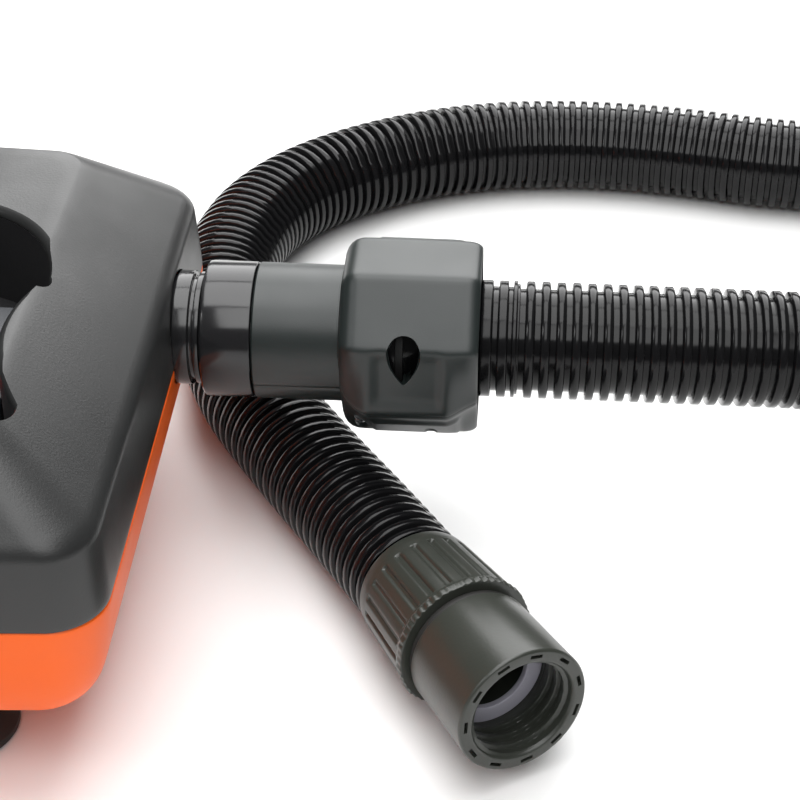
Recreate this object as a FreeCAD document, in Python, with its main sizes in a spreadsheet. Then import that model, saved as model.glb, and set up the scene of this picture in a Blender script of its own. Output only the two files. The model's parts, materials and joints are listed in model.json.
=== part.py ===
"""Portable pet dryer: blower housing, plug-in swivel coupler, corrugated hose and threaded nozzle.

Millimetres, +Z up, +X from the rear of the housing to the nose where the hose plugs in.  The origin
is on the floor, under the middle of the housing and its coupler.
"""
import FreeCAD, Part
import math
import os

import Sketcher

Vec = FreeCAD.Vector
doc = FreeCAD.newDocument("pet_dryer")
sheet = doc.addObject("Spreadsheet::Sheet", "sizes")

DRIVING = {
    "nose_x": 132.0,            # plane the outlet and the housing's fittings are set out from
    "face_proud": 3.0,          # how far the front face stands past that plane
    "housing_length": 370.0,
    "half_width": 107.5,
    "side_radius": 2500.0,      # the long sides bow out a little
    "nose_corner": 18.0,
    "tail_corner": 30.0,
    "base_z": 26.0,             # underside of the lower shell
    "split_z": 75.0,            # joint between the shells
    "shoulder_z": 102.0,
    "roof_z": 128.0,
    "wall": 2.6,
    "well_floor_z": 92.0,
    "console_z": 104.0,
    "outlet_y": 45.0,
    "outlet_z": 80.0,
    "motor_y": 20.0,
    "motor_z": 77.0,
    "hose_radius": 20.0,
    "hose_bore": 17.0,
    "cuff_length": 59.0,
    "coupler_end": 105.8,       # mouth of the grip, from the nose
    "barrel_radius": 23.3,
    "grip_radius": 33.5,        # corners of the eight-sided grip
    "coupler_roll": 21.0,
    "foot_radius": 18.5,
    "shaft_radius": 4.0,
    "screw_radius": 1.9,
    "socket_radius": 22.4,
    "thread_radius": 17.5,
}


class Size:
    """A number that remembers its spreadsheet formula, so that arithmetic on it writes the formula."""

    def __init__(self, value, text):
        self.value = float(value)
        self.text = text

    @staticmethod
    def of(other):
        return other if isinstance(other, Size) else Size(other, repr(float(other)))

    def __add__(self, other):
        other = Size.of(other)
        return Size(self.value + other.value, f"({self.text} + {other.text})")

    def __radd__(self, other):
        return Size.of(other) + self

    def __sub__(self, other):
        other = Size.of(other)
        return Size(self.value - other.value, f"({self.text} - {other.text})")

    def __rsub__(self, other):
        return Size.of(other) - self

    def __mul__(self, other):
        other = Size.of(other)
        return Size(self.value * other.value, f"({self.text} * {other.text})")

    def __rmul__(self, other):
        return Size.of(other) * self

    def __neg__(self):
        return Size.of(-1.0) * self


D = {}
for row, (alias, number) in enumerate(DRIVING.items(), 1):
    sheet.set(f"A{row}", alias)
    sheet.set(f"B{row}", str(number))
    sheet.setAlias(f"B{row}", alias)
    D[alias] = Size(number, f"sizes.{alias}")
doc.recompute()

nose, wall = D["nose_x"], D["wall"]
out_y, out_z = D["outlet_y"], D["outlet_z"]
motor_y, motor_z = D["motor_y"], D["motor_z"]
PARTS = []
X_AXIS, Y_AXIS, Z_AXIS = Vec(1, 0, 0), Vec(0, 1, 0), Vec(0, 0, 1)
UPRIGHT = FreeCAD.Rotation(Y_AXIS, -90)      # turns a piece made along X to stand along Z
LEVEL = FreeCAD.Rotation()


# ---------------------------------------------------------------- helpers
def bind(target, prop, amount):
    """Bind a property to the sheet, or set it where the amount is a plain number."""
    if isinstance(amount, Size):
        target.setExpression(prop, amount.text)
    else:
        target.setExpression(prop, repr(float(amount)))


def place(target, x=0.0, y=0.0, z=0.0, turn=LEVEL):
    target.Placement = FreeCAD.Placement(Vec(0, 0, 0), turn)
    for prop, amount in zip(("x", "y", "z"), (x, y, z)):
        bind(target, f"Placement.Base.{prop}", amount)
    return target


def keep(target, label):
    """Name a finished sub-part; its label is its file's name."""
    target.Label = label
    PARTS.append(target)
    return target


def outline(sketch, points):
    """Draw a closed outline; (x, y) starts a line, (x, y, radius, side) an arc to the next point.

    Side 1 puts the arc's centre on the left of the way round, side -1 on the right.
    """
    corners = [Vec(Size.of(p[0]).value, Size.of(p[1]).value, 0) for p in points]
    count = len(points)
    starts = []
    for index, point in enumerate(points):
        begin, end = corners[index], corners[(index + 1) % count]
        if len(point) == 2:
            sketch.addGeometry(Part.LineSegment(begin, end), False)
            starts.append(1)
            continue
        radius, side = Size.of(point[2]).value, point[3]
        chord = end - begin
        rise = math.sqrt(max(radius ** 2 - (chord.Length / 2) ** 2, 0.0))
        normal = Vec(-chord.y, chord.x, 0).normalize()
        centre = (begin + end) * 0.5 + normal * side * rise
        first, last = (begin, end) if side > 0 else (end, begin)
        angles = [math.atan2(spot.y - centre.y, spot.x - centre.x) for spot in (first, last)]
        circle = Part.Circle(centre, Vec(0, 0, 1), radius)
        sketch.addGeometry(Part.ArcOfCircle(circle, *angles), False)
        starts.append(1 if side > 0 else 2)
    for index in range(count):
        after = (index + 1) % count
        join = Sketcher.Constraint("Coincident", index, 3 - starts[index], after, starts[after])
        sketch.addConstraint(join)
    for index, point in enumerate(points):
        wanted = [("DistanceX", point[0]), ("DistanceY", point[1])]
        for kind, amount in wanted:
            rule = Sketcher.Constraint(kind, -1, 1, index, starts[index], Size.of(amount).value)
            number = sketch.addConstraint(rule)
            if isinstance(amount, Size):
                sketch.setExpression(f"Constraints[{number}]", amount.text)
        if len(point) > 2:
            number = sketch.addConstraint(Sketcher.Constraint("Radius", index, Size.of(point[2]).value))
            if isinstance(point[2], Size):
                sketch.setExpression(f"Constraints[{number}]", point[2].text)


def body_sketch(body, role, points):
    """A sketch with one outline on an origin plane of its body."""
    sketch = body.newObject("Sketcher::SketchObject", "profile")
    origin_plane = next(f for f in body.Origin.OriginFeatures if f.Role == role)
    sketch.AttachmentSupport = [(origin_plane, "")]
    sketch.MapMode = "FlatFace"
    outline(sketch, points)
    return sketch


def turned(points, x=0.0, y=0.0, z=0.0, turn=LEVEL):
    """A body turned about its X axis from an outline of (distance along X, radius) points."""
    body = doc.addObject("PartDesign::Body", "turned")
    sketch = body_sketch(body, "XZ_Plane", points)
    spin = body.newObject("PartDesign::Revolution", "spin")
    spin.Profile = (sketch, [""])
    spin.ReferenceAxis = (sketch, ["H_Axis"])
    spin.Angle = 360
    return place(body, x, y, z, turn)


def tube(start, end, outer, inner, x=0.0, y=0.0, z=0.0, turn=LEVEL):
    return turned([(start, inner), (end, inner), (end, outer), (start, outer)], x, y, z, turn)


def rod(start, end, radius, x=0.0, y=0.0, z=0.0, turn=LEVEL):
    return turned([(start, 0), (end, 0), (end, radius), (start, radius)], x, y, z, turn)


def padded_plate(role, points, length, x=0.0, y=0.0, z=0.0, turn=LEVEL):
    """A body padded from an outline on an origin plane, centred on that plane."""
    body = doc.addObject("PartDesign::Body", "plate")
    sketch = body_sketch(body, role, points)
    pad = body.newObject("PartDesign::Pad", "pad")
    pad.Profile = (sketch, [""])
    pad.Midplane = True
    bind(pad, "Length", length)
    return place(body, x, y, z, turn)


def block(low, high):
    """A box from its lowest corner to its highest."""
    target = doc.addObject("Part::Box", "block")
    for prop, near, far in zip(("Length", "Width", "Height"), low, high):
        bind(target, prop, far - near)
    return place(target, *low)


def post(x, y, low_z, high_z, radius):
    """An upright cylinder."""
    target = doc.addObject("Part::Cylinder", "post")
    bind(target, "Radius", radius)
    bind(target, "Height", high_z - low_z)
    return place(target, x, y, low_z)


def bar(x, y, z, length, radius):
    """A cylinder along X."""
    target = doc.addObject("Part::Cylinder", "bar")
    bind(target, "Radius", radius)
    bind(target, "Height", length)
    return place(target, x, y, z, FreeCAD.Rotation(Y_AXIS, 90))


def joined(*pieces):
    target = doc.addObject("Part::MultiFuse", "joined")
    target.Shapes = list(pieces)
    return target


def cut(base, *tools):
    target = doc.addObject("Part::Cut", "cut")
    target.Base = base
    target.Tool = tools[0] if len(tools) == 1 else joined(*tools)
    return target


def shared(*pieces):
    target = doc.addObject("Part::MultiCommon", "shared")
    target.Shapes = list(pieces)
    return target


def group(pieces):
    """Separate solids kept in one node."""
    target = doc.addObject("Part::Compound", "group")
    target.Links = list(pieces)
    return target


def plan(points, z):
    """A level sketch with one outline at a height."""
    sketch = doc.addObject("Sketcher::SketchObject", "plan")
    outline(sketch, points)
    return place(sketch, 0.0, 0.0, z)


def raised(sketch, height):
    """A level sketch carried straight up."""
    target = doc.addObject("Part::Extrusion", "raised")
    target.Base = sketch
    target.DirMode = "Custom"
    target.Dir = Z_AXIS
    target.Solid = True
    bind(target, "LengthFwd", height)
    return target


def loft(sections):
    target = doc.addObject("Part::Loft", "loft")
    target.Sections = sections
    target.Solid = True
    target.Ruled = True
    return target


# ---------------------------------------------------------------- housing shells
def housing_ring(z, side, front, back, corner):
    """The housing's outline at a height, drawn in from its widest outline by the given amounts."""
    half = D["half_width"] - side
    front_x = nose - front
    back_x = nose - D["housing_length"] + back
    near, far = corner, corner + (D["tail_corner"] - D["nose_corner"])
    bow = D["side_radius"]
    return plan([
        (back_x + far, -half, bow, 1), (front_x - near, -half, near, 1),
        (front_x, near - half), (front_x, half - near, near, 1),
        (front_x - near, half, bow, 1), (back_x + far, half, far, 1),
        (back_x, half - far), (back_x, far - half, far, 1)], z)


base_z, split_z, roof_z = D["base_z"], D["split_z"], D["roof_z"]
corner = D["nose_corner"]
# height, then the draw-in at the sides, the nose and the tail, then the corner radius
# (below zero at the nose, because the face stands proud of the plane the outlet is set out from)
proud = D["face_proud"]
LOWER_RINGS = [(base_z, 30.0, 31.0, 14.0, corner - 6), (base_z + 7, 10.0, 9.0, 5.0, corner - 4),
               (base_z + 21, 1.8, 1.0, 2.0, corner - 1), (split_z, 0.0, -proud, 0.0, corner)]
UPPER_RINGS = [(split_z, 0.0, -proud, 0.0, corner), (D["shoulder_z"], 2.5, 1.6 - proud, 1.0, corner - 1),
               (roof_z, 27.0, 33.0, 9.0, corner - 6)]


def inner_rings(rings, lifts, insets):
    """The rings of the inside surface: moved in by the wall, and up or down by it."""
    return [(z + lift, side + wall * part, front + wall * part, back + wall * part, bend - wall * 0.8)
            for (z, side, front, back, bend), lift, part in zip(rings, lifts, insets)]


lower_outside = loft([housing_ring(*ring) for ring in LOWER_RINGS])
lower_inside = loft([housing_ring(*ring) for ring in inner_rings(
    LOWER_RINGS, (wall, wall * 0.6, 0.0, 0.0), (0.6, 0.8, 1.0, 1.0))])
upper_outside = loft([housing_ring(*ring) for ring in UPPER_RINGS])
upper_inside = loft([housing_ring(*ring) for ring in inner_rings(
    UPPER_RINGS, (0.0, wall * -0.5, -wall), (1.0, 1.0, 0.4))])

# The well in the roof: two lobes at the nose end with a broad tongue between them.
WELL = [
    (nose - 172, -74), (nose - 44, -76, 13.0, 1), (nose - 27, -62, 56.0, -1),
    (nose - 33, -4, 5.0, 1), (nose - 30.5, 3, 44.0, 1), (nose - 62, 42, 60.0, 1),
    (nose - 98, 58), (nose - 172, 60, 14.0, 1), (nose - 186, 46), (nose - 186, -60, 14.0, 1)]


def well_solid(from_z, height, grow):
    sketch = plan(WELL, from_z)
    if grow is None:
        return raised(sketch, height)
    wider = doc.addObject("Part::Offset2D", "wider")
    wider.Source = sketch
    wider.Mode = "Pipe"
    wider.Join = "Arc"
    bind(wider, "Value", grow)
    return raised(wider, height)


SCREW_SPOTS = [(nose - 46, -86), (nose - 46, 86), (nose - 214, -88), (nose - 214, 88),
               (nose - 336, -80), (nose - 336, 80)]
screw_seat_z = base_z + 19
lower_bosses = [shared(post(x, y, base_z, split_z, 6.0), lower_outside) for x, y in SCREW_SPOTS]
upper_bosses = [shared(post(x, y, split_z, roof_z, 6.0), upper_outside) for x, y in SCREW_SPOTS]
head_wells = [post(x, y, base_z - 10, screw_seat_z, 4.4) for x, y in SCREW_SPOTS]
lower_ways = [post(x, y, base_z, split_z + 1, 2.2) for x, y in SCREW_SPOTS]
upper_ways = [post(x, y, split_z - 1, split_z + 18, D["screw_radius"]) for x, y in SCREW_SPOTS]

outlet_way = bar(nose - 12, out_y, out_z, 24.0, 22.0)
intake_way = bar(nose - D["housing_length"] - 6, motor_y, motor_z, 24.0, 41.2)
inlet_y, inlet_z = -70.0, 60.0
tail_x = nose - D["housing_length"]
inlet_way = block((tail_x - 5, inlet_y - 13.75, inlet_z - 10.25),
                  (tail_x + 15, inlet_y + 13.75, inlet_z + 10.25))

FOOT_SPOTS = [(nose - 55.4, -71), (nose - 55.4, 71), (nose - 318, -71), (nose - 318, 71)]
foot_ways = [post(x, y, base_z - 2, base_z + 6, 2.2) for x, y in FOOT_SPOTS]

keep(cut(joined(cut(lower_outside, lower_inside), *lower_bosses),
         outlet_way, intake_way, inlet_way, *head_wells, *lower_ways, *foot_ways), "bottom_shell")
keep(cut(joined(cut(upper_outside, upper_inside), *upper_bosses),
         well_solid(D["shoulder_z"], 40.0, None), outlet_way, intake_way, *upper_ways), "top_shell")


def screw(length, radius, head):
    """A pan-head screw pointing up, its head under the level z 0, with a cross recess."""
    shank = turned([(-2.6, 0), (length, 0), (length, radius), (0, radius), (0, head), (-1.6, head),
                    (-2.6, head * 0.7)])
    slots = [block((-0.5, -2.2, -3.0), (0.5, 2.2, -1.6)), block((-2.2, -0.5, -3.0), (2.2, 0.5, -1.6))]
    place(shank, 0.0, 0.0, 0.0, UPRIGHT)
    return cut(shank, *slots)


def screws(label, spots, seat_z, length, radius, head):
    """One screw for each spot, as separate solids in one node."""
    return keep(group([place(screw(length, radius, head), x, y, seat_z) for x, y in spots]), label)


screws("housing_screws", SCREW_SPOTS, screw_seat_z, 46.0, D["screw_radius"], 3.6)


# ---------------------------------------------------------------- feet
def foot(x, y):
    """A rubber foot: a broad pad, a waist and a plug that the screw draws into the base."""
    reach = D["foot_radius"]
    pad = turned([
        (0, 2.4), (0, reach - 1.5, 1.5, -1), (1.5, reach), (4, reach, 22.0, -1), (14, 9.5),
        (base_z, 9.5), (base_z, 2.4), (9, 2.4), (9, 4.6), (6, 4.6), (6, 2.4)])
    return place(pad, x, y, 0.0, UPRIGHT)


keep(group([foot(x, y) for x, y in FOOT_SPOTS]), "rubber_feet")
screws("foot_screws", FOOT_SPOTS, 9.0, 26.0, 2.0, 4.2)

# ---------------------------------------------------------------- handle well and control console
well_z = D["well_floor_z"]
console_z = D["console_z"]
console_low, console_high = (nose - 180, -40.0), (nose - 39.6, 17.0)
console_gap = block((nose - 174, -35.0, well_z - 10), (nose - 39.8, 12.0, well_z + 1))
well_tub = cut(well_solid(well_z - wall, 60.0, wall), well_solid(well_z, 60.0, None), console_gap)
keep(shared(well_tub, upper_inside), "handle_well")

SWITCH_Y = -22.5
POWER_X, HEAT_X = nose - 48.8, nose - 76
LAMP_X, KNOB_X, KNOB_Y = nose - 94, nose - 158, -11.5
console_box = cut(
    block((*console_low, well_z), (*console_high, console_z)),
    block((console_low[0] + 2.2, console_low[1] + 2.2, well_z - 1),
          (console_high[0] - 1.0, console_high[1] - 2.2, console_z - 2.2)))
switch_ways = [block((x - 8.8, SWITCH_Y - 12.2, well_z), (x + 8.8, SWITCH_Y + 12.2, console_z + 1))
               for x in (POWER_X, HEAT_X)]
keep(cut(console_box, *switch_ways, post(LAMP_X, SWITCH_Y, well_z, console_z + 1, 2.6),
         post(KNOB_X, KNOB_Y, well_z, console_z + 1, 3.8)), "control_console")


def rocker_switch(label, x, tilt):
    """A snap-in rocker switch: a hollow frame with blade contacts and a rocker on a cross pin."""
    floor_z = console_z - 18
    pivot_z = console_z - 1.5
    rim = block((x - 9.8, SWITCH_Y - 13.6, console_z), (x + 9.8, SWITCH_Y + 13.6, console_z + 1.8))
    can = block((x - 8.7, SWITCH_Y - 12.1, floor_z), (x + 8.7, SWITCH_Y + 12.1, console_z + 0.5))
    room = block((x - 7.8, SWITCH_Y - 11.1, floor_z + 2), (x + 7.8, SWITCH_Y + 11.1, console_z + 4))
    pin_way = bar(x - 8.4, SWITCH_Y, pivot_z, 16.8, 1.26)
    blades = [block((x - 3, SWITCH_Y + y - 0.4, floor_z - 7), (x + 3, SWITCH_Y + y + 0.4, floor_z + 1))
              for y in (-7.0, 0.0, 7.0)]
    keep(cut(joined(rim, can, *blades), cut(room, joined(*blades)), pin_way), f"{label}_frame")
    cap = padded_plate("YZ_Plane", [
        (-10.2, -3.5), (-5, -7.5), (5, -7.5), (10.2, -3.5), (10.2, 5.0), (9.4, 5.8), (0, 3.6, ),
        (-9.4, 5.8), (-10.2, 5.0)], 15.0)
    pin = rod(-8.2, 8.2, 1.2)
    rocker = joined(cap, pin)
    return keep(place(rocker, x, SWITCH_Y, pivot_z, FreeCAD.Rotation(X_AXIS, tilt)), f"{label}_rocker")


rocker_switch("power", POWER_X, 8.0)
rocker_switch("heat", HEAT_X, 8.0)
keep(turned([(-8, 0), (1.0, 0, 3.6, 1), (0, 2.55), (-8, 2.55)], LAMP_X, SWITCH_Y, console_z, UPRIGHT),
     "indicator_lens")

# The speed knob turns with its shaft in the control's bush.
pot_z = console_z - 2.2
keep(cut(joined(post(KNOB_X, KNOB_Y, pot_z - 9, pot_z, 8.0),
                block((KNOB_X - 8, KNOB_Y - 13, pot_z - 7), (KNOB_X + 8, KNOB_Y - 5, pot_z - 5.5))),
         post(KNOB_X, KNOB_Y, pot_z - 10, pot_z + 1, 3.05)), "speed_control")
keep(post(KNOB_X, KNOB_Y, pot_z - 8, console_z + 12, 3.0), "speed_control_shaft")
knob_cap = turned([
    (0.6, 3.0), (0.6, 16.0), (3, 16.0, 3.0, -1), (4.5, 14.5), (15, 13.0, 1.5, -1), (16.5, 11.5),
    (16.5, 0), (12, 0), (12, 3.0)], KNOB_X, KNOB_Y, console_z, UPRIGHT)
knob_flutes = [place(post(0.0, 0.0, 0.0, 20.0, 1.6),
                     KNOB_X + 14.9 * math.cos(math.radians(30 * turn)),
                     KNOB_Y + 14.9 * math.sin(math.radians(30 * turn)), console_z + 5)
               for turn in range(1, 12)]
keep(cut(knob_cap, *knob_flutes), "speed_knob")

# ---------------------------------------------------------------- carrying handle
HANDLE_X = nose - 120
rails = [block((nose - 190, side * 78 - 6.5, D["shoulder_z"]), (nose - 66, side * 78 + 6.5, roof_z + 1.8))
         for side in (-1, 1)]
arch = padded_plate("YZ_Plane", [
    (-94, 100), (-80, 100), (-80, 126, 26.0, -1), (-56, 150), (56, 150, 26.0, -1), (80, 126), (80, 100),
    (94, 100), (94, 132, 34.0, 1), (60, 166), (-60, 166, 34.0, 1), (-94, 132)], 32.0, HANDLE_X)
hood = cut(joined(arch, *rails), upper_outside, well_solid(D["shoulder_z"], 32.0, None))
keep(hood, "carry_handle")

grip_outer = block((HANDLE_X - 18.5, -46, 147.5), (HANDLE_X + 18.5, 46, 168.5))
grip_soft = doc.addObject("Part::Fillet", "soft_edges")
grip_soft.Base = grip_outer
doc.recompute()
grip_soft.Edges = [(number, 6.0, 6.0) for number, edge in enumerate(grip_outer.Shape.Edges, 1)
                   if abs(edge.Vertexes[0].Y - edge.Vertexes[1].Y) > 50]
keep(cut(grip_soft, block((HANDLE_X - 16, -50, 150), (HANDLE_X + 16, 50, 166))), "handle_grip")

# ---------------------------------------------------------------- outlet
keep(tube(-12, -9, 24.2, 17.0, nose, out_y, out_z), "outlet_grommet")
keep(turned([
    (-22, 14.5), (28.8, 14.5), (28.8, 17.0), (21.6, 17.0), (21.6, 16.0), (18.4, 16.0), (18.4, 17.0),
    (11.2, 17.0), (11.2, 19.3), (9, 19.3), (9, 17.8), (7.6, 17.8), (7.6, 19.7), (2.2, 19.7),
    (2.2, 18.3), (-1, 18.3), (-1, 21.5), (-3, 21.5), (-3, 17.0), (-22, 17.0)], nose, out_y, out_z),
    "outlet_spigot")
keep(turned([(18.7, 16.0), (21.3, 16.0), (21.3, 17.3, 1.4, 1), (18.7, 17.3)], nose, out_y, out_z),
     "spigot_seal")

# ---------------------------------------------------------------- plug-in coupler
keep(turned([
    (11.8, 17.35), (14, 17.35), (14, 19.0), (29.2, 19.0), (29.2, 23.5), (13.8, 23.5, 2.0, 1),
    (11.8, 21.5)], nose, out_y, out_z), "lock_collar")
keep(turned([
    (29.5, 14.5), (103, 14.5), (103, 16.9), (34.8, 16.9), (34.8, 20.4), (32.4, 20.4), (32.4, 17.4),
    (29.5, 17.4)], nose, out_y, out_z), "swivel_tube")
cuff_start, cuff_end = 60.0, 60.0 + D["cuff_length"]
hose_out, hose_in = D["hose_radius"], D["hose_bore"]
keep(turned([
    (cuff_start, hose_in), (cuff_end, hose_in), (cuff_end, 19.0), (118, 19.0), (118, hose_out),
    (116.6, hose_out), (116.6, 18.0), (115, 18.0), (115, hose_out), (111.8, hose_out), (111.8, 18.0),
    (109.8, 18.0), (109.8, hose_out), (106, hose_out), (106, 19.0), (78, 19.0), (78, 24.0),
    (70, 24.0), (70, 19.0), (cuff_start, 19.0)], nose, out_y, out_z), "hose_cuff")
keep(tube(78.05, 80.4, 22.4, 19.0, nose, out_y, out_z), "cuff_seal")


def octagon(radius):
    return [(radius * math.cos(math.radians(45 * k)), radius * math.sin(math.radians(45 * k)))
            for k in range(8)]


def grip_prism(x_values, shrink):
    """Eight-sided prism along X whose corners lie on the split plane; a smaller ring makes a shoulder."""
    rings = []
    for x, drop in x_values:
        radius = D["grip_radius"] - (shrink + drop)
        sketch = doc.addObject("Sketcher::SketchObject", "ring")
        outline(sketch, [(radius * c, radius * s) for c, s in octagon(1.0)])
        rings.append(place(sketch, x, 0.0, 0.0, FreeCAD.Rotation(Vec(0, 1, 0), 90)))
    return loft(rings)


mouth = D["coupler_end"]
grip_form = joined(
    grip_prism([(59.0, 6.0), (63.1, 0.6), (mouth - 1.5, 0.0), (mouth, 0.8)], 0.0),
    bar(29.5, 0.0, 0.0, 34.0, D["barrel_radius"]))
grip_room = joined(
    grip_prism([(62.0, 7.0), (65.6, 1.0), (mouth + 1, 0.0)], 2.4),
    bar(32.0, 0.0, 0.0, 34.0, D["barrel_radius"] - 2.2))
grip_ribs = shared(joined(tube(35.2, 37.0, 23.0, 17.3), tube(66.6, 69.6, 33.0, 19.4),
                          tube(80.8, 83.2, 33.0, 19.4), tube(99.0, 101.0, 33.0, 20.4)), grip_form)
window_sketch = doc.addObject("Sketcher::SketchObject", "window")
outline(window_sketch, [
    (-5.1, 3.2, 5.3, -1), (5.1, 3.2, 20.0, -1), (0.9, -7.6, 1.0, -1), (-0.9, -7.6, 20.0, -1)])
window = doc.addObject("Part::Extrusion", "window_way")
window.Base = window_sketch
window.DirMode = "Normal"
window.Solid = True
window.LengthFwd = 40
place(window_sketch, 81.3, 0.0, 0.0, FreeCAD.Rotation(X_AXIS, 51))
doc.recompute()
window_room = shared(window, block((60, -60, -60), (100, 60, 60)))
LUG_SPOTS = [(x, side * 26.8) for x in (66.2, 90.0) for side in (-1, 1)]
LUG_SEAT = -10.0
lugs = shared(joined(*[post(x, y, -30, 20, 3.2) for x, y in LUG_SPOTS]), grip_form)
grip_whole = cut(joined(cut(grip_form, grip_room, bar(20.0, 0.0, 0.0, 100.0, 17.75)), grip_ribs, lugs),
                 bar(20.0, 0.0, 0.0, 15.1, 17.75),
                 *[post(x, y, -40, LUG_SEAT, 2.5) for x, y in LUG_SPOTS],
                 *[post(x, y, LUG_SEAT - 1, LUG_SEAT + 15, 1.1) for x, y in LUG_SPOTS])
roll = FreeCAD.Rotation(X_AXIS, DRIVING["coupler_roll"])
half_room = 45.0
for label, low, high in (("coupler_upper_shell", 0.0, half_room), ("coupler_lower_shell", -half_room, 0.0)):
    half = shared(grip_whole, block((20, -half_room, low), (120, half_room, high)))
    if low == 0.0:
        half = cut(half, window_room)
    keep(place(half, nose, out_y, out_z, roll), label)


lug_screws = group([place(screw(14.0, 1.1, 2.2), x, y, LUG_SEAT) for x, y in LUG_SPOTS])
keep(place(lug_screws, nose, out_y, out_z, roll), "coupler_screws")

# ---------------------------------------------------------------- air path inside the housing
duct_start, duct_end = nose - 212, nose - 13


def duct_ring(x, y, z, half_width, half_height, bend):
    """A rounded rectangle across the duct."""
    a, b, c = half_width, half_height, bend
    sketch = doc.addObject("Sketcher::SketchObject", "ring")
    outline(sketch, [(-a, b - c, c, -1), (c - a, b), (a - c, b, c, -1), (a, b - c), (a, c - b, c, -1),
                     (a - c, -b), (c - a, -b, c, -1), (-a, c - b)])
    return place(sketch, x, y, z, FreeCAD.Rotation(0.5, 0.5, 0.5, 0.5))


def duct_form(thin):
    rings = [(duct_start, motor_y, motor_z, 45.0, 45.0, 44.0), (nose - 190, out_y, 70.0, 30.0, 18.0, 15.0),
             (nose - 38, out_y, 70.0, 30.0, 18.0, 15.0), (nose - 23, out_y, out_z, 19.0, 19.0, 18.5),
             (duct_end, out_y, out_z, 19.0, 19.0, 18.5)]
    return loft([duct_ring(x, y, z, a - thin, b - thin, c - thin) for x, y, z, a, b, c in rings])


keep(cut(duct_form(0.0), duct_form(1.8)), "air_duct")

heater_x, heater_length = nose - 104, 92.0
mica = [block((heater_x - 46, out_y - 27, 69.6), (heater_x + 46, out_y + 27, 70.4)),
        block((heater_x - 46, out_y - 0.4, 55), (heater_x + 46, out_y + 0.4, 85))]
keep(joined(*mica), "heater_frame")


def coil(y, z):
    """One heating coil, as the tube that its turns fill."""
    return tube(-42, 42, 5.2, 3.6, heater_x, y, z)


keep(group([coil(out_y + side * 13, 70 + up * 7.2) for side in (-1, 1) for up in (-1, 1)]), "heater_coils")
keep(joined(post(nose - 152, out_y + 18, 74, 79, 6.0),
            block((nose - 158, out_y + 10, 73), (nose - 146, out_y + 26, 74))), "thermal_cutout")

# ---------------------------------------------------------------- motor and fan, on one line along X
keep(tube(-350, -212, 45.0, 43.0, nose, motor_y, motor_z), "motor_sleeve")
keep(turned([
    (-376, 36.0), (-356, 36.0), (-356, 41.0), (-373, 41.0), (-373, 44.5), (-376, 44.5)],
    nose, motor_y, motor_z), "intake_ring")
keep(rod(-366, -357, 35.6, nose, motor_y, motor_z), "foam_filter")
keep(turned([
    (-347, 15.0), (-345.5, 15.0), (-345.5, 40.2), (-318, 40.2), (-318, 41.8), (-347, 41.8)],
    nose, motor_y, motor_z), "fan_housing")


def impeller():
    """A backward-curved fan wheel: hub, back plate, nine blades and a front ring."""
    hub = tube(-343, -322, 7.5, D["shaft_radius"])
    back = tube(-324, -322.4, 38.0, 7.0)
    ring = tube(-343, -341.6, 38.0, 17.0)
    blades = []
    for step in range(9):
        blade = padded_plate("YZ_Plane", [
            (8.0, 0.0, 26.0, 1), (34.0, -13.0), (35.0, -11.6, 26.0, -1), (9.0, 1.6)], 19.4)
        blades.append(place(blade, -332.4, 0.0, 0.0, FreeCAD.Rotation(X_AXIS, 40.0 * step)))
    return place(joined(hub, back, ring, *blades), nose, motor_y, motor_z)


keep(impeller(), "impeller")
keep(rod(-345, -224, D["shaft_radius"], nose, motor_y, motor_z), "motor_shaft")
keep(joined(tube(-296, -250, 19.6, D["shaft_radius"], nose, motor_y, motor_z),
            tube(-246, -236, 10.0, D["shaft_radius"], nose, motor_y, motor_z)), "armature")
keep(tube(-296, -250, 31.9, 20.2, nose, motor_y, motor_z), "motor_stator")
keep(tube(-310, -232, 33.5, 32.0, nose, motor_y, motor_z), "motor_can")
for label, start in (("rear_bearing", -312.0), ("front_bearing", -232.0)):
    keep(tube(start, start + 7, 8.0, D["shaft_radius"] + 0.02, nose, motor_y, motor_z), label)
keep(turned([(-314, 6.0), (-312, 6.0), (-312, 8.0), (-305, 8.0), (-305, 10.5), (-310, 10.5), (-310, 33.5),
             (-314, 33.5)], nose, motor_y, motor_z), "rear_bracket")
keep(turned([(-232, 8.0), (-225, 8.0), (-225, 6.0), (-223, 6.0), (-223, 10.5), (-229, 10.5), (-229, 33.5),
             (-232, 33.5)], nose, motor_y, motor_z), "front_bracket")
keep(group([block((nose - 244, motor_y + low, motor_z - 3), (nose - 238, motor_y + high, motor_z + 3))
            for low, high in ((10.4, 31.6), (-31.6, -10.4))]), "carbon_brushes")
keep(tube(-316, -314, 43.0, 20.0, nose, motor_y, motor_z), "rear_motor_mount")
AIR_HOLE_CIRCLE = 38.4
air_holes = []
for degrees in range(0, 360, 30):
    along_y = AIR_HOLE_CIRCLE * math.cos(math.radians(degrees))
    along_z = AIR_HOLE_CIRCLE * math.sin(math.radians(degrees))
    air_holes.append(bar(nose - 235, motor_y + along_y, motor_z + along_z, 12.0, 3.2))
keep(cut(tube(-232, -226, 43.0, 33.55, nose, motor_y, motor_z), *air_holes), "front_motor_mount")

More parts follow.
